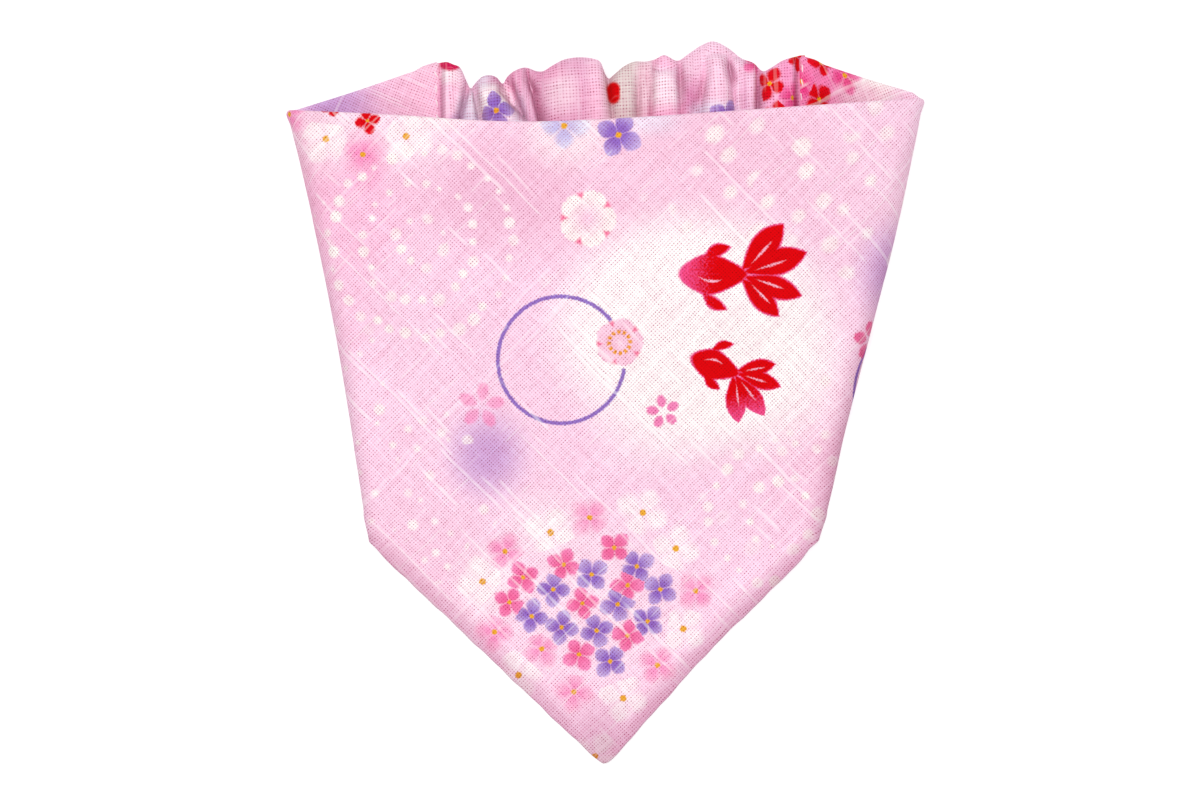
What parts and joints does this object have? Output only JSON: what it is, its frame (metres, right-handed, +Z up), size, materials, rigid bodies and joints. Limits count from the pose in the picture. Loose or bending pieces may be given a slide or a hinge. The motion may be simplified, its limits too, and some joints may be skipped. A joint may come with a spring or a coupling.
{
  "type": "pet bandana",
  "caption": "Triangular pet bandana of folded cotton whose side wings turn behind and join a gathered elastic neck band.",
  "frame": {"origin": "middle of the bandana's outline as it lies on its back, on the surface it rests on", "axes": "+X across the front along the neckline, +Y from the point up to the neckline, +Z up out of the front"},
  "size_m": [0.14, 0.1596, 0.021],
  "materials": {
    "printed_cotton": "matt slub cotton with a printed pattern",
    "gathered_cotton": "matt slub cotton with a printed pattern, gathered",
    "sewing_thread": "matt sewing thread"
  },
  "bodies": {
    "root": {"bandana_cloth": "printed_cotton", "neck_band": "gathered_cotton"}
  },
  "joints": []
}
